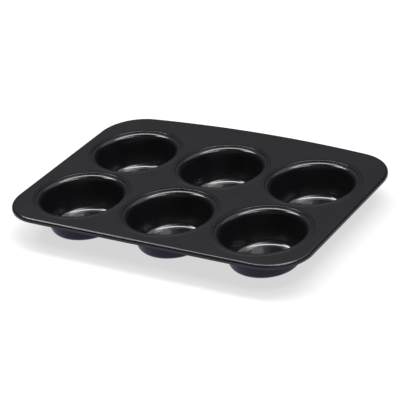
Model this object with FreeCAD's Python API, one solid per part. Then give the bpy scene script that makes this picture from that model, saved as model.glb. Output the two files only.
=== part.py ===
import FreeCAD, Part
import math
import os

# Six-cup muffin pan, pressed from one sheet of coated steel.
# The frame stands on the cup bases: origin at the middle of the bounding box's bottom,
# +X along the long side, +Y towards the wide, bowed back margin, +Z up. Millimetres.
#
# The sheet is a flat plate. Round each cup it rises in a gentle slope to a low pressed bead, steps
# down steeply to a narrow ledge and turns over a wide rounded mouth into a tapered wall and a
# flat base with a rounded foot. Along its edge it turns down into a short skirt, whose lower
# edge is hemmed inwards.
#
# Every section is traced as a bent sheet: straight runs and bends, with the second face of the
# sheet at a constant distance from the first.

# Sheet
SHEET = 0.5

# Cup layout
COLUMNS = 3
ROWS = 2
LAND_X = 1.4            # flat land between two beads, side by side
LAND_Y = 0.6            # the same, front to back

# Cup, as seen from above
MOUTH_RADIUS = 36.9     # where the ledge turns down into the mouth
MOUTH_INNER_BEND = 4.2  # radius on the sheet's hollow side
CUP_DEPTH = 27.7        # plate's top face to the underside of the base
WALL_DRAFT = 14.0       # degrees from upright
BASE_INNER_BEND = 4.4

# Pressed bead round each cup, with a steep step down to the ledge inside it
BEAD_HEIGHT = 0.4       # above the plate
BEAD_TOP_WIDTH = 0.7
BEAD_SLOPE = 14.0       # degrees, down to the plate outside it
BEAD_INNER_BEND = 0.5
STEP_ANGLE = 68.0       # degrees
STEP_INNER_BEND = 0.12
LEDGE_DEPTH = 0.35      # below the plate
LEDGE_WIDTH = 0.1

# Plate outline: borders from the outer beads to the outermost edge
SIDE_BORDER = 10.00935
FRONT_BORDER = 8.50935
BACK_BORDER = 26.40935  # at the middle of the bowed back edge
BACK_BOW_RADIUS = 830.0
FRONT_CORNER_RADIUS = 33.5
BACK_CORNER_RADIUS = 36.0

# Rim: skirt turned down from the plate, with a hemmed lower edge
RIM_HEIGHT = 3.9
RIM_INNER_BEND = 1.7
HEM_INNER_BEND = 0.3
HEM_LEG = 0.9

RIGHT_ANGLE = 90.0
HALF_TURN = 180.0
FULL_TURN = 360.0
UP = FreeCAD.Vector(0, 0, 1)
ORIGIN = FreeCAD.Vector(0, 0, 0)


class BentSheet:
    """Section of a bent sheet in the X-Z plane, traced along its upper face towards +X.

    The sheet lies on the right of the way the trace runs. A positive bend turns left (up), a
    negative one turns right (down), and its radius is given on the hollow side of the bend.
    """

    def __init__(self, thickness, x=0.0, z=0.0):
        self.thickness = thickness
        self.x = x
        self.z = z
        self.heading = 0.0
        self.upper = []
        self.lower = []

    def _at(self, depth):
        """Point of the face that lies depth below the upper one."""
        turn = math.radians(self.heading)
        return FreeCAD.Vector(self.x + depth * math.sin(turn), 0, self.z - depth * math.cos(turn))

    def _ends(self):
        return self._at(0), self._at(self.thickness)

    def run(self, length):
        """Straight stretch."""
        upper_start, lower_start = self._ends()
        turn = math.radians(self.heading)
        self.x += length * math.cos(turn)
        self.z += length * math.sin(turn)
        upper_end, lower_end = self._ends()
        self.upper.append(Part.LineSegment(upper_start, upper_end).toShape())
        self.lower.append(Part.LineSegment(lower_start, lower_end).toShape())

    def bend(self, angle, inner_radius):
        """Round bend by angle degrees."""
        upper_start, lower_start = self._ends()
        side = math.copysign(1.0, angle)
        radius = inner_radius if angle > 0 else inner_radius + self.thickness
        centre_x = self.x - side * radius * math.sin(math.radians(self.heading))
        centre_z = self.z + side * radius * math.cos(math.radians(self.heading))
        middles = []
        for share in (0.5, 1.0):
            turn = math.radians(self.heading + share * angle)
            middles.append((centre_x + side * radius * math.sin(turn),
                            centre_z - side * radius * math.cos(turn), turn))
        half_x, half_z, half_turn = middles[0]
        self.x, self.z, end_turn = middles[1]
        self.heading += angle
        upper_half = FreeCAD.Vector(half_x, 0, half_z)
        lower_half = FreeCAD.Vector(half_x + self.thickness * math.sin(half_turn), 0,
                                    half_z - self.thickness * math.cos(half_turn))
        upper_end, lower_end = self._ends()
        self.upper.append(Part.Arc(upper_start, upper_half, upper_end).toShape())
        self.lower.append(Part.Arc(lower_start, lower_half, lower_end).toShape())

    def face(self):
        """Closed section between the two faces of the sheet."""
        first = self.upper[0].Vertexes[0].Point
        first_lower = self.lower[0].Vertexes[0].Point
        last, last_lower = self._ends()
        edges = list(self.upper)
        edges.append(Part.LineSegment(last, last_lower).toShape())
        edges.extend(reversed(self.lower))
        edges.append(Part.LineSegment(first_lower, first).toShape())
        return Part.Face(Part.Wire(Part.__sortEdges__(edges)))


def bend_width(angle, radius):
    """Horizontal reach of a bend that starts or ends level."""
    return radius * math.sin(math.radians(angle))


def straight_length(rise, angle, radius):
    """Length of the straight between two level-ending bends that together climb rise.

    The radius is that of both bends together, on the upper face.
    """
    turn = math.radians(angle)
    return (rise - radius * (1 - math.cos(turn))) / math.sin(turn)


def slope_width(length, angle):
    """Horizontal reach of a straight slope."""
    return length * math.cos(math.radians(angle))


# Sizes that follow from the driving ones
WALL_ANGLE = RIGHT_ANGLE - WALL_DRAFT
MOUTH_OUTER_BEND = MOUTH_INNER_BEND + SHEET
BASE_TOP_Z = SHEET - CUP_DEPTH
WALL_BENDS = BASE_INNER_BEND + MOUTH_OUTER_BEND
WALL_LENGTH = straight_length(-LEDGE_DEPTH - BASE_TOP_Z, WALL_ANGLE, WALL_BENDS)
WALL_WIDTH = bend_width(WALL_ANGLE, WALL_BENDS) + slope_width(WALL_LENGTH, WALL_ANGLE)
BASE_RADIUS = MOUTH_RADIUS - WALL_WIDTH
STEP_BENDS = STEP_INNER_BEND + STEP_INNER_BEND + SHEET
STEP_LENGTH = straight_length(LEDGE_DEPTH + BEAD_HEIGHT, STEP_ANGLE, STEP_BENDS)
STEP_WIDTH = bend_width(STEP_ANGLE, STEP_BENDS) + slope_width(STEP_LENGTH, STEP_ANGLE)
BEAD_BENDS = BEAD_INNER_BEND + BEAD_INNER_BEND + SHEET
BEAD_LENGTH = straight_length(BEAD_HEIGHT, BEAD_SLOPE, BEAD_BENDS)
BEAD_SLOPE_WIDTH = bend_width(BEAD_SLOPE, BEAD_BENDS) + slope_width(BEAD_LENGTH, BEAD_SLOPE)
BEAD_OUTER_RADIUS = MOUTH_RADIUS + LEDGE_WIDTH + STEP_WIDTH + BEAD_TOP_WIDTH + BEAD_SLOPE_WIDTH

PITCH_X = 2 * BEAD_OUTER_RADIUS + LAND_X
PITCH_Y = 2 * BEAD_OUTER_RADIUS + LAND_Y
CUP_CENTRES = [
    FreeCAD.Vector((column - (COLUMNS - 1) / 2) * PITCH_X, (row - (ROWS - 1) / 2) * PITCH_Y, 0)
    for row in range(ROWS)
    for column in range(COLUMNS)
]

HALF_LENGTH = (COLUMNS - 1) / 2 * PITCH_X + BEAD_OUTER_RADIUS + SIDE_BORDER
FRONT_Y = -(ROWS - 1) / 2 * PITCH_Y - BEAD_OUTER_RADIUS - FRONT_BORDER
BACK_Y = (ROWS - 1) / 2 * PITCH_Y + BEAD_OUTER_RADIUS + BACK_BORDER

RIM_OUTER_BEND = RIM_INNER_BEND + SHEET
HEM_OUTER_BEND = HEM_INNER_BEND + SHEET
SKIRT_RUN = RIM_HEIGHT - RIM_OUTER_BEND - HEM_OUTER_BEND


def cup_section():
    """From the middle of the base out to the plate."""
    sheet = BentSheet(SHEET, z=BASE_TOP_Z)
    sheet.run(BASE_RADIUS)
    sheet.bend(WALL_ANGLE, BASE_INNER_BEND)
    sheet.run(WALL_LENGTH)
    sheet.bend(-WALL_ANGLE, MOUTH_INNER_BEND)
    sheet.run(LEDGE_WIDTH)
    sheet.bend(STEP_ANGLE, STEP_INNER_BEND)
    sheet.run(STEP_LENGTH)
    sheet.bend(-STEP_ANGLE, STEP_INNER_BEND)
    sheet.run(BEAD_TOP_WIDTH)
    sheet.bend(-BEAD_SLOPE, BEAD_INNER_BEND)
    sheet.run(BEAD_LENGTH)
    sheet.bend(BEAD_SLOPE, BEAD_INNER_BEND)
    return sheet.face()


def rim_section():
    """From the end of the flat plate, at x = 0, round the skirt and its hem."""
    sheet = BentSheet(SHEET)
    sheet.bend(-RIGHT_ANGLE, RIM_INNER_BEND)
    sheet.run(SKIRT_RUN)
    sheet.bend(-HALF_TURN, HEM_INNER_BEND)
    sheet.run(HEM_LEG)
    return sheet.face()


class Outline:
    """Closed outline of the plate, drawn inset from the outermost edge.

    Stretches run counter-clockwise from the front edge. Each is ("line", start, end) or
    ("arc", centre, radius, first degree, last degree).
    """

    def __init__(self, inset):
        half = HALF_LENGTH - inset
        front = FRONT_Y + inset
        front_radius = FRONT_CORNER_RADIUS - inset
        back_radius = BACK_CORNER_RADIUS - inset
        bow_radius = BACK_BOW_RADIUS - inset
        bow_y = BACK_Y - BACK_BOW_RADIUS
        front_x = half - front_radius
        front_y = front + front_radius
        back_x = half - back_radius
        back_y = bow_y + math.sqrt((bow_radius - back_radius) ** 2 - back_x ** 2)
        tangent = math.degrees(math.atan2(back_y - bow_y, back_x))
        self.stretches = [
            ("line", (-front_x, front), (front_x, front)),
            ("arc", (front_x, front_y), front_radius, -RIGHT_ANGLE, 0.0),
            ("line", (half, front_y), (half, back_y)),
            ("arc", (back_x, back_y), back_radius, 0.0, tangent),
            ("arc", (0.0, bow_y), bow_radius, tangent, HALF_TURN - tangent),
            ("arc", (-back_x, back_y), back_radius, HALF_TURN - tangent, HALF_TURN),
            ("line", (-half, back_y), (-half, front_y)),
            ("arc", (-front_x, front_y), front_radius, HALF_TURN, HALF_TURN + RIGHT_ANGLE),
        ]

    def wire(self):
        """The outline as a flat wire at z = 0."""
        edges = []
        for stretch in self.stretches:
            if stretch[0] == "line":
                start, end = [FreeCAD.Vector(*point, 0) for point in stretch[1:]]
                edges.append(Part.LineSegment(start, end).toShape())
            else:
                centre, radius, first, last = stretch[1:]
                middle = (first + last) / 2
                points = [on_circle(centre, radius, degree) for degree in (first, middle, last)]
                edges.append(Part.Arc(*points).toShape())
        return Part.Wire(Part.__sortEdges__(edges))

    def sweep(self, section):
        """Solids of a section drawn outwards from x = 0, carried round the outline."""
        solids = []
        for stretch in self.stretches:
            if stretch[0] == "line":
                start, end = [FreeCAD.Vector(*point, 0) for point in stretch[1:]]
                along = end - start
                outward = math.degrees(math.atan2(-along.x, along.y))
                placed = section.copy()
                placed.rotate(ORIGIN, UP, outward)
                placed.translate(start)
                solids.append(placed.extrude(along))
            else:
                centre, radius, first, last = stretch[1:]
                placed = section.copy()
                placed.translate(FreeCAD.Vector(radius, 0, 0))
                placed.rotate(ORIGIN, UP, first)
                placed.translate(FreeCAD.Vector(*centre, 0))
                solids.append(placed.revolve(FreeCAD.Vector(*centre, 0), UP, last - first))
        return solids


def on_circle(centre, radius, degree):
    """Point of a level circle at z = 0."""
    turn = math.radians(degree)
    return FreeCAD.Vector(centre[0] + radius * math.cos(turn), centre[1] + radius * math.sin(turn), 0)


def flat_plate(outline):
    """Flat part of the sheet, inside the rim and outside the beads."""
    holes = [Part.Wire(Part.makeCircle(BEAD_OUTER_RADIUS, centre)) for centre in CUP_CENTRES]
    face = Part.Face([outline.wire()] + holes)
    face.validate()
    return face.extrude(UP * -SHEET)


def muffin_pan():
    """The whole pan as one solid, in the frame described at the top."""
    outline = Outline(inset=RIM_OUTER_BEND)
    cup = cup_section().revolve(ORIGIN, UP, FULL_TURN)
    cups = []
    for centre in CUP_CENTRES:
        placed = cup.copy()
        placed.translate(centre)
        cups.append(placed)
    pan = flat_plate(outline).fuse(outline.sweep(rim_section()) + cups).removeSplitter()
    pan.translate(FreeCAD.Vector(0, -(FRONT_Y + BACK_Y) / 2, CUP_DEPTH))
    return pan.Solids[0] if len(pan.Solids) == 1 else pan


def main():
    os.makedirs("parts", exist_ok=True)
    pan = muffin_pan()
    box = pan.optimalBoundingBox(False)
    print("muffin_pan: %d solid, valid %s" % (len(pan.Solids), pan.isValid()))
    print("size %.2f x %.2f x %.2f mm" % (box.XLength, box.YLength, box.ZLength))
    print("sheet volume %.0f mm3, base radius %.2f mm" % (pan.Volume, BASE_RADIUS))
    print("cup pitch %.2f x %.2f mm" % (PITCH_X, PITCH_Y))
    pan.exportStep("parts/muffin_pan.step")


main()
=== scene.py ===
import logging
import math
from dataclasses import dataclass
from dataclasses import field
from enum import Enum

import bmesh
import bpy
from mathutils import Matrix
from mathutils import Vector


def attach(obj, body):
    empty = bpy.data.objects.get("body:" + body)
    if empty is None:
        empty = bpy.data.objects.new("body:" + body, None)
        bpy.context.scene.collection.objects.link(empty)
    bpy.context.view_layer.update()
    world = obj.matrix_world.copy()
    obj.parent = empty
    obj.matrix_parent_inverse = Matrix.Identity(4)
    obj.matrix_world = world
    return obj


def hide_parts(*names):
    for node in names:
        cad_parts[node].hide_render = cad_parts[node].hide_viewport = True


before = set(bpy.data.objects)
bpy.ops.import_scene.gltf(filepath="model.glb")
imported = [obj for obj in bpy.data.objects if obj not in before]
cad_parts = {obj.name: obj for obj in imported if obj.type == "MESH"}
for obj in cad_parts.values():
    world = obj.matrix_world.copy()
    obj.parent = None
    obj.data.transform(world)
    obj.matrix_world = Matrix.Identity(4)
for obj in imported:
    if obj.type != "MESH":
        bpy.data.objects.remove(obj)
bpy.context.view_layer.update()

# Looks of the pressed muffin pan. Metres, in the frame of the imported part: the cup bases stand on
# z = 0, +X runs along the long side and +Y towards the wide, bowed back margin.

LOG = logging.getLogger("muffin_pan")
BODY = "root"
NODE = "muffin_pan"
RIGHT_ANGLE = math.pi / 2
METRE = 1.0
MM = 0.001
CUBIC_CM = 1e-6

# Kinds of value that several classes pass on
Point = tuple[float, float]
Place = tuple[float, float, float]
Colour = tuple[float, float, float]
Socket = bpy.types.NodeSocket

# Colours and ramps that several classes use
WHITE: Colour = (1.0, 1.0, 1.0)
COOL_WHITE: Colour = (0.97, 0.97, 1.06)
OPAQUE = 1.0
RISING: Point = (0.0, 1.0)
FALLING: Point = (1.0, 0.0)


class Turn(Enum):
    """Which way a bend of the sheet turns, seen along the trace."""

    UP = 1
    DOWN = -1


@dataclass
class BentSheet:
    """Section of a bent sheet, traced along its upper face in the X-Z plane towards +X.

    The sheet lies on the right of the way the trace runs. Each bend's radius is given on its
    hollow side. Straight runs get a point close to each end, so that smooth shading stays true
    on them, and a short run is split into equal parts.
    """

    thickness: float
    x: float = 0.0
    z: float = 0.0
    support: float = 0.25 * MM
    run_parts: int = 3
    wide_step: float = math.radians(8)
    tight_step: float = math.radians(16)
    tight_radius: float = 1.0 * MM
    heading: float = 0.0
    upper: list[Point] = field(default_factory=list)
    lower: list[Point] = field(default_factory=list)

    def __post_init__(self) -> None:
        """Puts the first point of both faces down."""
        self._mark()

    def _mark(self) -> None:
        """Adds the point reached to both faces."""
        self.upper.append((self.x, self.z))
        self.lower.append((self.x + self.thickness * math.sin(self.heading),
                           self.z - self.thickness * math.cos(self.heading)))

    def run(self, length: float) -> None:
        """Traces a straight stretch.

        Args:
            length: how long the stretch is.
        """
        inset = min(self.support, length / self.run_parts)
        for piece in (inset, length - 2 * inset, inset):
            self.x += piece * math.cos(self.heading)
            self.z += piece * math.sin(self.heading)
            self._mark()

    def bend(self, turn: Turn, angle: float, inner_radius: float) -> None:
        """Traces a round bend.

        Args:
            turn: the way the bend turns.
            angle: how far it turns, in radians.
            inner_radius: its radius on the hollow side.
        """
        side = turn.value
        radius = inner_radius if turn is Turn.UP else inner_radius + self.thickness
        centre_x = self.x - side * radius * math.sin(self.heading)
        centre_z = self.z + side * radius * math.cos(self.heading)
        first = self.heading
        step = self.tight_step if inner_radius < self.tight_radius else self.wide_step
        count = math.ceil(angle / step)
        for index in range(1, count + 1):
            self.heading = first + side * angle * index / count
            self.x = centre_x + side * radius * math.sin(self.heading)
            self.z = centre_z - side * radius * math.cos(self.heading)
            self._mark()


@dataclass(frozen=True)
class PanSizes:
    """Driving sizes of the pan and what follows from them."""

    sheet: float = 0.5 * MM
    columns: int = 3
    rows: int = 2
    land_x: float = 1.4 * MM
    land_y: float = 0.6 * MM
    mouth_radius: float = 36.9 * MM
    mouth_inner_bend: float = 4.2 * MM
    cup_depth: float = 27.7 * MM
    wall_angle: float = math.radians(76)
    base_inner_bend: float = 4.4 * MM
    ledge_width: float = 0.1 * MM
    ledge_depth: float = 0.35 * MM
    step_angle: float = math.radians(68)
    step_inner_bend: float = 0.12 * MM
    bead_height: float = 0.4 * MM
    bead_top_width: float = 0.7 * MM
    bead_slope: float = math.radians(14)
    bead_inner_bend: float = 0.5 * MM
    side_border: float = 10.00935 * MM
    front_border: float = 8.50935 * MM
    back_border: float = 26.40935 * MM
    back_bow_radius: float = 830.0 * MM
    front_corner_radius: float = 33.5 * MM
    back_corner_radius: float = 36.0 * MM
    rim_height: float = 3.9 * MM
    rim_inner_bend: float = 1.7 * MM
    hem_inner_bend: float = 0.3 * MM
    hem_leg: float = 0.9 * MM

    @property
    def mouth_outer_bend(self) -> float:
        """Radius of the mouth's bend on the side that shows."""
        return self.mouth_inner_bend + self.sheet

    @property
    def step_bends(self) -> float:
        """Both radii of the S-shaped step between bead and ledge, added up."""
        return 2 * self.step_inner_bend + self.sheet

    @property
    def step_length(self) -> float:
        """Straight length of the step between bead and ledge."""
        ends = self.step_bends * (1 - math.cos(self.step_angle))
        return (self.bead_height + self.ledge_depth - ends) / math.sin(self.step_angle)

    @property
    def bead_bends(self) -> float:
        """Both radii of the bead's S-shaped outer side, added up."""
        return 2 * self.bead_inner_bend + self.sheet

    @property
    def slope_length(self) -> float:
        """Straight length of the bead's outer slope."""
        ends = self.bead_bends * (1 - math.cos(self.bead_slope))
        return (self.bead_height - ends) / math.sin(self.bead_slope)

    @property
    def base_top_z(self) -> float:
        """Height of the base's top face, from the plate's top face."""
        return self.sheet - self.cup_depth

    @property
    def wall_length(self) -> float:
        """Straight length of the tapered wall."""
        ends = (self.base_inner_bend + self.mouth_outer_bend) * (1 - math.cos(self.wall_angle))
        return (-self.ledge_depth - self.base_top_z - ends) / math.sin(self.wall_angle)

    @property
    def base_radius(self) -> float:
        """Radius of the flat base."""
        bends = (self.base_inner_bend + self.mouth_outer_bend) * math.sin(self.wall_angle)
        return self.mouth_radius - bends - self.wall_length * math.cos(self.wall_angle)

    @property
    def step_width(self) -> float:
        """How far out the step between bead and ledge reaches."""
        bends = self.step_bends * math.sin(self.step_angle)
        return bends + self.step_length * math.cos(self.step_angle)

    @property
    def slope_width(self) -> float:
        """How far out the bead's outer slope reaches."""
        bends = self.bead_bends * math.sin(self.bead_slope)
        return bends + self.slope_length * math.cos(self.bead_slope)

    @property
    def bead_radius(self) -> float:
        """Outer radius of the bead, where the flat plate starts."""
        crest = self.mouth_radius + self.ledge_width + self.step_width + self.bead_top_width
        return crest + self.slope_width

    @property
    def pitch_x(self) -> float:
        """Distance between cup axes along X."""
        return 2 * self.bead_radius + self.land_x

    @property
    def pitch_y(self) -> float:
        """Distance between cup axes along Y."""
        return 2 * self.bead_radius + self.land_y

    @property
    def half_length(self) -> float:
        """Half the pan's size along X."""
        return (self.columns - 1) / 2 * self.pitch_x + self.bead_radius + self.side_border

    @property
    def front_y(self) -> float:
        """Front edge, from the middle of the cups."""
        return -(self.rows - 1) / 2 * self.pitch_y - self.bead_radius - self.front_border

    @property
    def back_y(self) -> float:
        """Back edge at its middle, from the middle of the cups."""
        return (self.rows - 1) / 2 * self.pitch_y + self.bead_radius + self.back_border

    @property
    def rim_outer_bend(self) -> float:
        """Radius of the rim's bend on the side that shows."""
        return self.rim_inner_bend + self.sheet

    @property
    def hem_outer_bend(self) -> float:
        """Radius of the hem's bend on the side that shows."""
        return self.hem_inner_bend + self.sheet

    @property
    def middle(self) -> Vector:
        """Middle of the cups on the plate's top face, in the frame of the part."""
        return Vector((0.0, -(self.front_y + self.back_y) / 2, self.cup_depth))


@dataclass(frozen=True)
class PlateOutline:
    """Closed line round the plate, inset from the outermost edge."""

    sizes: PanSizes
    inset: float
    corner_steps: int = 20
    bow_steps: int = 40
    support: float = 0.4 * MM

    def points(self) -> list[Point]:
        """Works the line out, counter-clockwise from the front edge.

        Returns:
            Points in the plate's plane, from the middle of the cups.
        """
        sizes = self.sizes
        half = sizes.half_length - self.inset
        front = sizes.front_y + self.inset
        front_radius = sizes.front_corner_radius - self.inset
        back_radius = sizes.back_corner_radius - self.inset
        bow_radius = sizes.back_bow_radius - self.inset
        bow_y = sizes.back_y - sizes.back_bow_radius
        front_x = half - front_radius
        front_y = front + front_radius
        back_x = half - back_radius
        back_y = bow_y + math.sqrt((bow_radius - back_radius) ** 2 - back_x ** 2)
        tangent = math.atan2(back_y - bow_y, back_x)
        left = math.pi
        steps = self.corner_steps
        line: list[Point] = []
        self._straight(line, (-front_x, front), (front_x, front))
        self._arc(line, (front_x, front_y), front_radius, -RIGHT_ANGLE, 0.0, steps)
        self._straight(line, (half, front_y), (half, back_y))
        self._arc(line, (back_x, back_y), back_radius, 0.0, tangent, steps)
        self._arc(line, (0.0, bow_y), bow_radius, tangent, left - tangent, self.bow_steps)
        self._arc(line, (-back_x, back_y), back_radius, left - tangent, left, steps)
        self._straight(line, (-half, back_y), (-half, front_y))
        self._arc(line, (-front_x, front_y), front_radius, left, left + RIGHT_ANGLE, steps)
        return line

    def _straight(self, line: list[Point], start: Point, end: Point) -> None:
        """Adds a straight stretch without its end, with a point close to each end.

        Args:
            line: the line so far.
            start: where the stretch starts.
            end: where it ends.
        """
        first = Vector(start)
        last = Vector(end)
        along = (last - first).normalized() * self.support
        for point in (first, first + along, last - along):
            line.append((point.x, point.y))

    @staticmethod
    def _arc(line: list[Point], centre: Point, radius: float, first: float, last: float,
             steps: int) -> None:
        """Adds an arc without its end.

        Args:
            line: the line so far.
            centre: the arc's centre.
            radius: its radius.
            first: the direction of its start from the centre, in radians.
            last: the direction of its end.
            steps: how many points it gets.
        """
        for index in range(steps):
            turn = first + (last - first) * index / steps
            line.append((centre[0] + radius * math.cos(turn), centre[1] + radius * math.sin(turn)))


class NodeWeb:
    """Adds and links the nodes of one tree."""

    def __init__(self, tree: bpy.types.NodeTree) -> None:
        """Keeps the tree."""
        self.tree = tree

    def node(self, kind: str, **settings: object) -> bpy.types.Node:
        """Adds a node.

        Args:
            kind: the node's type.
            settings: its properties.

        Returns:
            The node.
        """
        node = self.tree.nodes.new(kind)
        for name, value in settings.items():
            setattr(node, name, value)
        return node

    def feed(self, source: Socket | float, target: Socket) -> None:
        """Links a socket, or sets a plain value.

        Args:
            source: the socket or value.
            target: the socket that takes it.
        """
        if isinstance(source, Socket):
            self.tree.links.new(source, target)
        else:
            target.default_value = source


class PressTree(NodeWeb):
    """Geometry Nodes tree that presses the pan out of its sections.

    The cup's section turns round each hole of a grid, the rim's section follows the outline, and
    both faces of the flat plate fill what lies between.
    """

    INPUTS = (
        ("Cup section", "NodeSocketObject"),
        ("Rim section", "NodeSocketObject"),
        ("Outline", "NodeSocketObject"),
        ("Columns", "NodeSocketInt"),
        ("Rows", "NodeSocketInt"),
        ("Length between cups", "NodeSocketFloat"),
        ("Width between cups", "NodeSocketFloat"),
        ("Hole radius", "NodeSocketFloat"),
        ("Segments", "NodeSocketInt"),
        ("Other face", "NodeSocketVector"),
        ("Place", "NodeSocketVector"),
        ("Weld distance", "NodeSocketFloat"),
        ("Coat", "NodeSocketMaterial"),
    )

    def __init__(self) -> None:
        """Builds the tree and its sockets."""
        super().__init__(bpy.data.node_groups.new("press_pan", "GeometryNodeTree"))
        face = self.tree.interface
        face.new_socket("Geometry", in_out="OUTPUT", socket_type="NodeSocketGeometry")
        face.new_socket("Geometry", in_out="INPUT", socket_type="NodeSocketGeometry")
        self.sockets = {}
        for name, kind in self.INPUTS:
            self.sockets[name] = face.new_socket(name, in_out="INPUT", socket_type=kind).identifier
        self.given = self.node("NodeGroupInput").outputs
        self._wire()

    def _line_of(self, name: str) -> Socket:
        """Reads a helper object's edges as curves.

        Args:
            name: the input that takes the helper.

        Returns:
            The curves.
        """
        info = self.node("GeometryNodeObjectInfo", transform_space="ORIGINAL")
        curve = self.node("GeometryNodeMeshToCurve")
        self.feed(self.given[name], info.inputs["Object"])
        self.feed(info.outputs["Geometry"], curve.inputs["Mesh"])
        return curve.outputs["Curve"]

    def _sweep(self, path: Socket, section: Socket) -> Socket:
        """Carries a section along a level path, upright all the way.

        Args:
            path: the path's curve.
            section: the section's curves.

        Returns:
            The swept mesh.
        """
        upright = self.node("GeometryNodeSetCurveNormal", mode="Z_UP")
        sweep = self.node("GeometryNodeCurveToMesh")
        self.feed(path, upright.inputs["Curve"])
        self.feed(upright.outputs["Curve"], sweep.inputs["Curve"])
        self.feed(section, sweep.inputs["Profile Curve"])
        return sweep.outputs["Mesh"]

    def _on_grid(self, thing: Socket) -> Socket:
        """Repeats a thing at each cup.

        Args:
            thing: what is repeated, made round the origin.

        Returns:
            All the copies.
        """
        grid = self.node("GeometryNodeMeshGrid")
        place = self.node("GeometryNodeInstanceOnPoints")
        real = self.node("GeometryNodeRealizeInstances")
        self.feed(self.given["Length between cups"], grid.inputs["Size X"])
        self.feed(self.given["Width between cups"], grid.inputs["Size Y"])
        self.feed(self.given["Columns"], grid.inputs["Vertices X"])
        self.feed(self.given["Rows"], grid.inputs["Vertices Y"])
        self.feed(grid.outputs["Mesh"], place.inputs["Points"])
        self.feed(thing, place.inputs["Instance"])
        self.feed(place.outputs["Instances"], real.inputs["Geometry"])
        return real.outputs["Geometry"]

    def _gather(self, *things: Socket) -> Socket:
        """Joins pieces of geometry.

        Args:
            things: the pieces.

        Returns:
            All of them as one.
        """
        whole = self.node("GeometryNodeJoinGeometry")
        for thing in things:
            self.feed(thing, whole.inputs["Geometry"])
        return whole.outputs["Geometry"]

    def _moved(self, thing: Socket, name: str) -> Socket:
        """Moves a piece of geometry.

        Args:
            thing: the piece.
            name: the input that says how far.

        Returns:
            The moved piece.
        """
        move = self.node("GeometryNodeTransform")
        self.feed(thing, move.inputs["Geometry"])
        self.feed(self.given[name], move.inputs["Translation"])
        return move.outputs["Geometry"]

    def _wire(self) -> None:
        """Links the whole tree."""
        circle = self.node("GeometryNodeCurvePrimitiveCircle")
        self.feed(self.given["Segments"], circle.inputs["Resolution"])
        self.feed(self.given["Hole radius"], circle.inputs["Radius"])
        hole = circle.outputs["Curve"]
        outline = self._line_of("Outline")
        cups = self._on_grid(self._sweep(hole, self._line_of("Cup section")))
        rim = self._sweep(outline, self._line_of("Rim section"))

        fill = self.node("GeometryNodeFillCurve", mode="TRIANGLES")
        self.feed(self._gather(outline, self._on_grid(hole)), fill.inputs["Curve"])
        plate = fill.outputs["Mesh"]
        whole = self._gather(cups, rim, plate, self._moved(plate, "Other face"))

        weld = self.node("GeometryNodeMergeByDistance")
        smooth = self.node("GeometryNodeSetShadeSmooth")
        real = self.node("GeometryNodeRealizeInstances")
        coat = self.node("GeometryNodeSetMaterial")
        done = self.node("NodeGroupOutput")
        self.feed(whole, weld.inputs["Geometry"])
        self.feed(self.given["Weld distance"], weld.inputs["Distance"])
        self.feed(self._moved(weld.outputs["Geometry"], "Place"), smooth.inputs["Geometry"])
        self.feed(smooth.outputs["Geometry"], real.inputs["Geometry"])
        self.feed(real.outputs["Geometry"], coat.inputs["Geometry"])
        self.feed(self.given["Coat"], coat.inputs["Material"])
        self.feed(coat.outputs["Geometry"], done.inputs["Geometry"])


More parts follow.
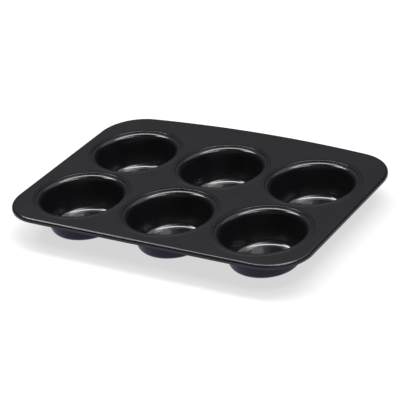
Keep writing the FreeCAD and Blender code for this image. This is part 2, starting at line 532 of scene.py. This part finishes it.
class ShaderWeb(NodeWeb):
    """Nodes of a material or a room: arithmetic, ramps, noise and mixes."""

    def calc(self, operation: str, *values: Socket | float) -> Socket:
        """Does one step of arithmetic.

        Args:
            operation: the step's name.
            values: what it works on, in order.

        Returns:
            The result.
        """
        node = self.node("ShaderNodeMath", operation=operation)
        for value, socket in zip(values, node.inputs):
            self.feed(value, socket)
        return node.outputs["Value"]

    def weigh(self, *parts: tuple[Socket, float]) -> Socket:
        """Adds values up, each times its own weight.

        Args:
            parts: the values with their weights.

        Returns:
            The sum.
        """
        total: Socket | float = 0.0
        for value, weight in parts:
            total = self.calc("ADD", self.calc("MULTIPLY", value, weight), total)
        return total

    def vector(self, *parts: Socket | float) -> Socket:
        """Joins three values into a vector.

        Args:
            parts: the values along X, Y and Z.

        Returns:
            The vector.
        """
        node = self.node("ShaderNodeCombineXYZ")
        for value, socket in zip(parts, node.inputs):
            self.feed(value, socket)
        return node.outputs["Vector"]

    def ramp(self, value: Socket, old: Point, new: Point) -> Socket:
        """Maps one range smoothly on to another, held at both ends.

        Args:
            value: what is mapped.
            old: the range that it comes from.
            new: the range that it goes to.

        Returns:
            The mapped value.
        """
        node = self.node("ShaderNodeMapRange", interpolation_type="SMOOTHSTEP")
        self.feed(value, node.inputs["Value"])
        for name, amount in zip(("From Min", "From Max", "To Min", "To Max"), (*old, *new)):
            node.inputs[name].default_value = amount
        return node.outputs["Result"]

    def noise(self, where: Socket, size: float, detail: float) -> Socket:
        """Adds soft noise from 0 to 1.

        Args:
            where: the place that it is read at.
            size: how wide its largest spots are.
            detail: how many finer layers it has.

        Returns:
            The noise.
        """
        node = self.node("ShaderNodeTexNoise")
        self.feed(where, node.inputs["Vector"])
        node.inputs["Scale"].default_value = 1 / size
        node.inputs["Detail"].default_value = detail
        return node.outputs["Factor"] if "Factor" in node.outputs else node.outputs["Fac"]

    def tint(self, share: Socket, first: Colour, second: Colour) -> Socket:
        """Mixes two colours.

        Args:
            share: how much of the second there is, from 0 to 1.
            first: the colour at 0.
            second: the colour at 1.

        Returns:
            The mixed colour.
        """
        node = self.node("ShaderNodeMix", data_type="RGBA")
        self.feed(share, node.inputs["Factor"])
        colours = [socket for socket in node.inputs if socket.type == "RGBA"]
        for socket, colour in zip(colours, (first, second)):
            socket.default_value = (*colour, OPAQUE)
        return next(socket for socket in node.outputs if socket.type == "RGBA")

    def blend(self, share: Socket, first: Socket, second: Socket) -> Socket:
        """Mixes two shaders.

        Args:
            share: how much of the second there is, from 0 to 1.
            first: the shader at 0.
            second: the shader at 1.

        Returns:
            The mixed shader.
        """
        node = self.node("ShaderNodeMixShader")
        for source, socket in zip((share, first, second), node.inputs):
            self.feed(source, socket)
        return node.outputs["Shader"]


@dataclass(frozen=True)
class CupPlace:
    """Where a shaded spot lies from the axis of the nearest cup, as node sockets."""

    along: Socket
    across: Socket
    radius: Socket
    height: Socket

    @classmethod
    def find(cls, web: ShaderWeb, where: Socket, sizes: PanSizes) -> "CupPlace":
        """Works the place out.

        Args:
            web: the material's nodes.
            where: the spot in the frame of the part.
            sizes: the pan's sizes.

        Returns:
            The place.
        """
        split = web.node("ShaderNodeSeparateXYZ")
        web.feed(where, split.inputs["Vector"])
        along = cls._offset(web, split.outputs["X"], sizes.middle.x, sizes.pitch_x, sizes.columns)
        across = cls._offset(web, split.outputs["Y"], sizes.middle.y, sizes.pitch_y, sizes.rows)
        squares = web.calc("ADD", web.calc("MULTIPLY", along, along),
                           web.calc("MULTIPLY", across, across))
        return cls(along, across, web.calc("SQRT", squares), split.outputs["Z"])

    @staticmethod
    def _offset(web: ShaderWeb, value: Socket, middle: float, pitch: float, cups: int) -> Socket:
        """Measures along one axis from the nearest cup's middle.

        Args:
            web: the material's nodes.
            value: the spot's coordinate.
            middle: the coordinate of the middle of all cups.
            pitch: the distance between cups.
            cups: how many cups there are in a row.

        Returns:
            The distance, with its sign.
        """
        start = middle - (cups - 1) / 2 * pitch
        offset = web.calc("SUBTRACT", value, start)
        index = web.calc("ROUND", web.calc("DIVIDE", offset, pitch))
        index = web.calc("MINIMUM", web.calc("MAXIMUM", index, 0.0), float(cups - 1))
        return web.calc("SUBTRACT", offset, web.calc("MULTIPLY", index, pitch))


@dataclass(frozen=True)
class CoatFinish:
    """Dark satin non-stick coat, baked on to the steel.

    The sprayed coat has a fine skin and drifts a little in shade and gloss. Drawing the cups
    leaves faint upright streaks in their walls and a shallow crease where the mouth meets the
    bead. Towards the bases the coat lies thicker, and mirrors more strongly and more softly.
    """

    name: str = "dark_baking_coat"
    dark_shade: Colour = (0.0054, 0.0052, 0.0060)
    light_shade: Colour = (0.0077, 0.0074, 0.0084)
    gloss: Point = (0.125, 0.165)
    ior: float = 1.5
    drift_size: float = 22.0 * MM
    drift_detail: float = 3.0
    drift_share: float = 0.6
    mottle_range: Point = (0.3, 0.7)
    skin_size: float = 0.9 * MM
    skin_height: float = 0.0006 * MM
    fine_detail: float = 2.0
    streak_width: float = 0.9 * MM
    streak_stretch: float = 14.0
    streak_gloss: float = 0.05
    streak_height: float = 0.0012 * MM
    streak_fade: float = 4.0 * MM
    crease_width: float = 1.5 * MM
    crease_depth: float = 0.15 * MM
    pool_top: float = 17.0 * MM
    pool_bottom: float = 5.0 * MM
    pool_weight: float = 0.9
    pool_gloss: float = 0.22

    def material(self, sizes: PanSizes) -> bpy.types.Material:
        """Builds the material.

        Args:
            sizes: the pan's sizes, which say where the cups are.

        Returns:
            The finished material.
        """
        material = bpy.data.materials.new(self.name)
        material.use_nodes = True
        web = ShaderWeb(material.node_tree)
        where = web.node("ShaderNodeTexCoord").outputs["Object"]
        place = CupPlace.find(web, where, sizes)
        skin = web.noise(where, self.skin_size, self.fine_detail)
        drift = web.noise(where, self.drift_size, self.drift_detail)
        mottle = web.weigh((drift, self.drift_share), (skin, 1 - self.drift_share))
        shade = web.ramp(mottle, self.mottle_range, RISING)
        gloss = web.ramp(mottle, self.mottle_range, self.gloss)
        streaks = self._streaks(web, place, sizes)
        streaked = web.calc("MULTIPLY", streaks, self.streak_gloss)
        raised = web.weigh((skin, self.skin_height), (streaks, self.streak_height),
                           (self._crease(web, place, sizes), -self.crease_depth))
        bump = web.node("ShaderNodeBump")
        bump.inputs["Distance"].default_value = METRE
        web.feed(raised, bump.inputs["Height"])
        shader = material.node_tree.nodes["Principled BSDF"].inputs
        shader["IOR"].default_value = self.ior
        shader["Coat Roughness"].default_value = self.pool_gloss
        web.feed(web.tint(shade, self.dark_shade, self.light_shade), shader["Base Color"])
        web.feed(web.calc("ADD", gloss, streaked), shader["Roughness"])
        web.feed(self._pool(web, place, sizes), shader["Coat Weight"])
        web.feed(bump.outputs["Normal"], shader["Normal"])
        return material

    def _pool(self, web: ShaderWeb, place: CupPlace, sizes: PanSizes) -> Socket:
        """Thickens the coat towards the bases, inside the cups only.

        Args:
            web: the material's nodes.
            place: the spot that is shaded.
            sizes: the pan's sizes.

        Returns:
            How much of the thick coat there is.
        """
        mouth = (sizes.mouth_radius - sizes.mouth_outer_bend, sizes.mouth_radius)
        low = web.ramp(place.height, (self.pool_bottom, self.pool_top), (self.pool_weight, 0.0))
        return web.calc("MULTIPLY", low, web.ramp(place.radius, mouth, FALLING))

    def _streaks(self, web: ShaderWeb, place: CupPlace, sizes: PanSizes) -> Socket:
        """Draws streaks up the walls of the cups, fading out at the mouth and the foot.

        Args:
            web: the material's nodes.
            place: the spot that is shaded.
            sizes: the pan's sizes.

        Returns:
            The streaks, from 0 to 1.
        """
        turned = web.vector(
            web.calc("DIVIDE", place.along, place.radius),
            web.calc("DIVIDE", place.across, place.radius),
            web.calc("DIVIDE", place.height, self.streak_stretch * sizes.mouth_radius),
        )
        foot = sizes.base_inner_bend + sizes.sheet
        mouth = sizes.cup_depth - sizes.ledge_depth - sizes.mouth_outer_bend
        lower = web.ramp(place.height, (foot, foot + self.streak_fade), RISING)
        upper = web.ramp(place.height, (mouth - self.streak_fade, mouth), FALLING)
        streaks = web.noise(turned, self.streak_width / sizes.mouth_radius, self.fine_detail)
        return web.calc("MULTIPLY", streaks, web.calc("MULTIPLY", lower, upper))

    def _crease(self, web: ShaderWeb, place: CupPlace, sizes: PanSizes) -> Socket:
        """Draws the shallow crease round each mouth, deepest at the foot of the bead.

        Args:
            web: the material's nodes.
            place: the spot that is shaded.
            sizes: the pan's sizes.

        Returns:
            The crease, from 0 to 1.
        """
        foot = sizes.mouth_radius + sizes.ledge_width
        inner = web.ramp(place.radius, (foot - self.crease_width, foot), RISING)
        outer = web.ramp(place.radius, (foot, foot + sizes.bead_height), FALLING)
        return web.calc("MULTIPLY", inner, outer)


@dataclass
class MuffinPan:
    """The pan, as one pressed sheet."""

    sizes: PanSizes = field(default_factory=PanSizes)
    finish: CoatFinish = field(default_factory=CoatFinish)
    segments: int = 120
    flat_margin: float = 0.3 * MM
    weld_distance: float = 0.01 * MM

    @property
    def hole_radius(self) -> float:
        """Radius of the plate's holes, where the cups' sections end."""
        return self.sizes.bead_radius + self.flat_margin

    def cup_section(self) -> BentSheet:
        """Traces the section from the middle of the base out to the hole's edge.

        Returns:
            The traced section.
        """
        sizes = self.sizes
        sheet = BentSheet(sizes.sheet, z=sizes.base_top_z)
        sheet.run(sizes.base_radius)
        sheet.bend(Turn.UP, sizes.wall_angle, sizes.base_inner_bend)
        sheet.run(sizes.wall_length)
        sheet.bend(Turn.DOWN, sizes.wall_angle, sizes.mouth_inner_bend)
        sheet.run(sizes.ledge_width)
        sheet.bend(Turn.UP, sizes.step_angle, sizes.step_inner_bend)
        sheet.run(sizes.step_length)
        sheet.bend(Turn.DOWN, sizes.step_angle, sizes.step_inner_bend)
        sheet.run(sizes.bead_top_width)
        sheet.bend(Turn.DOWN, sizes.bead_slope, sizes.bead_inner_bend)
        sheet.run(sizes.slope_length)
        sheet.bend(Turn.UP, sizes.bead_slope, sizes.bead_inner_bend)
        sheet.run(self.flat_margin)
        return sheet

    def rim_section(self) -> BentSheet:
        """Traces the section from the plate's outline round the skirt and its hem.

        Returns:
            The traced section.
        """
        sizes = self.sizes
        sheet = BentSheet(sizes.sheet)
        sheet.run(self.flat_margin)
        sheet.bend(Turn.DOWN, RIGHT_ANGLE, sizes.rim_inner_bend)
        sheet.run(sizes.rim_height - sizes.rim_outer_bend - sizes.hem_outer_bend)
        sheet.bend(Turn.DOWN, 2 * RIGHT_ANGLE, sizes.hem_inner_bend)
        sheet.run(sizes.hem_leg)
        return sheet

    def build(self) -> bpy.types.Object:
        """Presses the pan and makes it a plain mesh.

        Returns:
            The finished piece, riding on the part's body.
        """
        mesh = self._press()
        self._turn_outwards(mesh)
        piece = self._object("pressed_pan", mesh)
        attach(piece, BODY)
        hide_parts(NODE)
        return piece

    def _press(self) -> bpy.types.Mesh:
        """Runs the tree on a blank and takes the helpers away.

        Returns:
            The pressed mesh.
        """
        press = PressTree()
        blank = self._object("blank", bpy.data.meshes.new("blank"))
        modifier = blank.modifiers.new("press", "NODES")
        modifier.node_group = press.tree
        lines = self._lines()
        for name, value in {**lines, **self._numbers()}.items():
            modifier[press.sockets[name]] = value
        modifier[press.sockets["Coat"]] = self.finish.material(self.sizes)
        bpy.context.view_layer.update()
        graph = bpy.context.evaluated_depsgraph_get()
        mesh = bpy.data.meshes.new_from_object(blank.evaluated_get(graph))
        for helper in (*lines.values(), blank):
            bpy.data.objects.remove(helper)
        bpy.data.node_groups.remove(press.tree)
        return mesh

    def _lines(self) -> dict[str, bpy.types.Object]:
        """Makes the helpers that hold the sections and the outline.

        Returns:
            The helpers, by the tree's inputs.
        """
        cup = self.cup_section()
        rim = self.rim_section()
        outline = PlateOutline(self.sizes, inset=self.sizes.rim_outer_bend + self.flat_margin)
        hole = self.hole_radius
        cup_faces = [[(x - hole, -z, 0.0) for x, z in face] for face in (cup.upper, cup.lower)]
        rim_loop = [(x, -z, 0.0) for x, z in rim.upper + rim.lower[::-1]]
        edge_loop = [(x, y, 0.0) for x, y in outline.points()]
        return {
            "Cup section": self._helper("cup_section", cup_faces),
            "Rim section": self._helper("rim_section", [rim_loop]),
            "Outline": self._helper("outline", [edge_loop], closed=True),
        }

    def _numbers(self) -> dict[str, object]:
        """Works out the tree's other sizes.

        Returns:
            The sizes, by the tree's inputs.
        """
        sizes = self.sizes
        return {
            "Columns": sizes.columns,
            "Rows": sizes.rows,
            "Length between cups": (sizes.columns - 1) * sizes.pitch_x,
            "Width between cups": (sizes.rows - 1) * sizes.pitch_y,
            "Hole radius": self.hole_radius,
            "Segments": self.segments,
            "Other face": (0.0, 0.0, -sizes.sheet),
            "Place": tuple(sizes.middle),
            "Weld distance": self.weld_distance,
        }

    def _helper(self, name: str, lines: list[list[Place]], closed: bool = False) -> bpy.types.Object:
        """Makes an object of edges only, for the tree to read.

        Args:
            name: the helper's name.
            lines: rows of points, each joined in order.
            closed: whether each row's last point joins its first.

        Returns:
            The helper object.
        """
        points: list[Place] = []
        edges: list[tuple[int, int]] = []
        for line in lines:
            first = len(points)
            points.extend(line)
            edges.extend((first + index, first + index + 1) for index in range(len(line) - 1))
            if closed:
                edges.append((len(points) - 1, first))
        mesh = bpy.data.meshes.new(name)
        mesh.from_pydata(points, edges, [])
        return self._object(name, mesh)

    @staticmethod
    def _object(name: str, mesh: bpy.types.Mesh) -> bpy.types.Object:
        """Puts a mesh in the scene.

        Args:
            name: the object's name.
            mesh: its mesh.

        Returns:
            The object.
        """
        made = bpy.data.objects.new(name, mesh)
        bpy.context.scene.collection.objects.link(made)
        return made

    @staticmethod
    def _turn_outwards(mesh: bpy.types.Mesh) -> None:
        """Turns every face outwards and reports open edges.

        Args:
            mesh: the pan's mesh.
        """
        work = bmesh.new()
        work.from_mesh(mesh)
        bmesh.ops.recalc_face_normals(work, faces=work.faces)
        open_edges = sum(not edge.is_manifold for edge in work.edges)
        volume = work.calc_volume(signed=True) / CUBIC_CM
        work.to_mesh(mesh)
        work.free()
        LOG.info("pan mesh: %d open edges, volume %.1f cm3", open_edges, volume)


@dataclass(frozen=True)
class PhotoCamera:
    """Camera that takes the photograph's view of the pan.

    Its distance and its two shifts are counted in distances between cups.
    """

    middle: Vector
    pitch: float
    azimuth: float = math.radians(33.24)
    elevation: float = math.radians(27.56)
    roll: float = math.radians(-6.26)
    distance: float = 17.205
    shift_right: float = 0.0388
    shift_up: float = -0.1090
    focal_pixels: float = 1788.0
    frame_pixels: float = 400.0
    sensor: float = 36.0
    clip_end: float = 20.0

    def build(self) -> None:
        """Places the camera and takes the view through it."""
        back = Vector((math.sin(self.azimuth) * math.cos(self.elevation),
                       -math.cos(self.azimuth) * math.cos(self.elevation),
                       math.sin(self.elevation)))
        level = Vector((math.cos(self.azimuth), math.sin(self.azimuth), 0.0))
        upright = back.cross(level)
        right = math.cos(self.roll) * level + math.sin(self.roll) * upright
        up = -math.sin(self.roll) * level + math.cos(self.roll) * upright
        place = back * self.distance + right * self.shift_right + up * self.shift_up
        turn = Matrix((right, up, back)).transposed().to_4x4()
        data = bpy.data.cameras.new("photo_camera")
        data.sensor_width = self.sensor
        data.sensor_fit = "HORIZONTAL"
        data.lens = self.focal_pixels / self.frame_pixels * self.sensor
        data.clip_end = self.clip_end
        camera = bpy.data.objects.new("photo_camera", data)
        camera.matrix_world = Matrix.Translation(self.middle + place * self.pitch) @ turn
        bpy.context.scene.collection.objects.link(camera)
        bpy.context.scene.camera = camera


@dataclass(frozen=True)
class SoftBox:
    """A flat studio light that hangs level under the ceiling and shines down.

    Its middle and size are given in ceiling heights, so that it looks the same from the pan
    however high the ceiling is.
    """

    name: str
    middle: Point
    size: Point
    turn: float
    radiance: float
    colour: Colour = WHITE

    def build(self, ceiling: float) -> None:
        """Hangs the light.

        Args:
            ceiling: height of the light above the floor.
        """
        data = bpy.data.lights.new(self.name, "AREA")
        data.shape = "RECTANGLE"
        data.size, data.size_y = (side * ceiling for side in self.size)
        data.energy = self.radiance * math.pi * data.size * data.size_y
        data.color = self.colour
        light = bpy.data.objects.new(self.name, data)
        light.location = (self.middle[0] * ceiling, self.middle[1] * ceiling, ceiling)
        light.rotation_euler = (0.0, 0.0, self.turn)
        bpy.context.scene.collection.objects.link(light)


@dataclass(frozen=True)
class Glow:
    """A soft patch of light in the room that fades away from its middle."""

    level: float
    azimuth: float
    elevation: float
    tightness: float

    def fall(self, web: ShaderWeb, where: Socket) -> Socket:
        """Works out how the patch fades in each direction.

        Args:
            web: the room's nodes.
            where: the direction looked in.

        Returns:
            The share of its level that is left, 1 in its middle.
        """
        reach = math.cos(self.elevation)
        toward = web.node("ShaderNodeVectorMath", operation="DOT_PRODUCT")
        toward.inputs[1].default_value = (reach * math.cos(self.azimuth),
                                          reach * math.sin(self.azimuth),
                                          math.sin(self.elevation))
        web.feed(where, toward.inputs[0])
        away = web.calc("SUBTRACT", toward.outputs["Value"], 1.0)
        return web.calc("EXPONENT", web.calc("MULTIPLY", away, self.tightness))


@dataclass(frozen=True)
class Studio:
    """Plain pale floor, soft lights hung level above the pan, and a dim room.

    The long box gives the bright line round each mouth and the side box its left end. The front
    boxes reach the bases by way of the walls. The wide panel and the room's glows light the rest.
    Each box hangs a step higher than the one before it, so that none hides another.
    """

    ceiling: float = 3.0
    box_step: float = 0.02
    boxes: tuple[SoftBox, ...] = (
        SoftBox("long_box", middle=(-0.15, 0.115), size=(1.47, 0.27),
                turn=math.radians(4.0), radiance=10.4),
        SoftBox("side_box", middle=(-0.85, -0.125), size=(0.22, 0.78),
                turn=math.radians(28.0), radiance=11.3),
        SoftBox("wide_panel", middle=(0.58, 0.31), size=(1.6, 1.47),
                turn=math.radians(-31.0), radiance=1.0),
        SoftBox("front_box", middle=(0.575, -0.32), size=(0.56, 0.24),
                turn=math.radians(55.0), radiance=7.5, colour=COOL_WHITE),
        SoftBox("front_fade", middle=(0.32, -0.57), size=(0.46, 0.24),
                turn=math.radians(30.0), radiance=1.9, colour=COOL_WHITE),
    )
    glows: tuple[Glow, ...] = (
        Glow(level=0.62, azimuth=math.radians(130), elevation=math.radians(56), tightness=8.5),
        Glow(level=0.25, azimuth=math.radians(285), elevation=math.radians(8), tightness=4.0),
    )
    glow_colour: Colour = (0.98, 0.96, 1.06)
    floor_half: float = 1.6
    floor_colour: Colour = (0.82, 0.82, 0.82)
    floor_glow: Colour = (0.76, 0.74, 0.90)
    floor_shine: Colour = (0.36, 0.33, 0.47)
    shine_share: float = 0.61
    shadow_share: float = 0.35

    def build(self) -> None:
        """Sets the floor, the room and the lights."""
        self._floor()
        self._room()
        for index, box in enumerate(self.boxes):
            box.build(self.ceiling * (1 + self.box_step * index))

    def _floor(self) -> None:
        """Lays the floor."""
        half = self.floor_half
        corners = [(-half, -half, 0), (half, -half, 0), (half, half, 0), (-half, half, 0)]
        mesh = bpy.data.meshes.new("floor")
        mesh.from_pydata(corners, [], [range(len(corners))])
        mesh.materials.append(self._floor_paint())
        floor = bpy.data.objects.new("floor", mesh)
        bpy.context.scene.collection.objects.link(floor)

    def _floor_paint(self) -> bpy.types.Material:
        """Paints the floor.

        Seen directly it is nearly white, but keeps the shadow. The coat mirrors it dimmer and
        more even than it is lit.

        Returns:
            The floor's material.
        """
        material = bpy.data.materials.new("pale_floor")
        material.use_nodes = True
        material.node_tree.nodes.clear()
        web = ShaderWeb(material.node_tree)
        rays = web.node("ShaderNodeLightPath").outputs
        seen = rays["Is Camera Ray"]
        matt = web.node("ShaderNodeBsdfDiffuse")
        web.feed(web.tint(seen, self.floor_glow, self.floor_colour), matt.inputs["Color"])
        shine = web.node("ShaderNodeEmission")
        shine.inputs["Color"].default_value = (*self.floor_shine, OPAQUE)
        white = web.node("ShaderNodeEmission")
        white.inputs["Color"].default_value = (*WHITE, OPAQUE)
        mirrored = web.calc("MULTIPLY", rays["Is Glossy Ray"], self.shine_share)
        bleached = web.calc("MULTIPLY", seen, 1 - self.shadow_share)
        lit = web.blend(mirrored, matt.outputs["BSDF"], shine.outputs["Emission"])
        paint = web.blend(bleached, lit, white.outputs["Emission"])
        web.feed(paint, web.node("ShaderNodeOutputMaterial").inputs["Surface"])
        return material

    def _room(self) -> None:
        """Fills the room with its soft glows. Seen directly it is white, like the floor."""
        world = bpy.data.worlds.new("room")
        world.use_nodes = True
        web = ShaderWeb(world.node_tree)
        where = web.node("ShaderNodeTexCoord").outputs["Generated"]
        strength = web.weigh(*((glow.fall(web, where), glow.level) for glow in self.glows))
        lit = world.node_tree.nodes["Background"]
        lit.inputs["Color"].default_value = (*self.glow_colour, OPAQUE)
        web.feed(strength, lit.inputs["Strength"])
        white = web.node("ShaderNodeBackground")
        white.inputs["Color"].default_value = (*WHITE, OPAQUE)
        seen = web.node("ShaderNodeLightPath").outputs["Is Camera Ray"]
        room = web.blend(seen, lit.outputs["Background"], white.outputs["Background"])
        web.feed(room, world.node_tree.nodes["World Output"].inputs["Surface"])
        bpy.context.scene.world = world


def main() -> None:
    """Builds the pan, the studio and the camera in order, and reports the pan."""
    logging.basicConfig(level=logging.INFO, format="%(message)s")
    bpy.context.scene.view_settings.view_transform = "Standard"
    pan = MuffinPan()
    piece = pan.build()
    mesh = piece.data
    LOG.info("%s: %d points, %d faces", piece.name, len(mesh.vertices), len(mesh.polygons))
    Studio().build()
    PhotoCamera(pan.sizes.middle, pan.sizes.pitch_x).build()


if __name__ == "__main__":
    main()
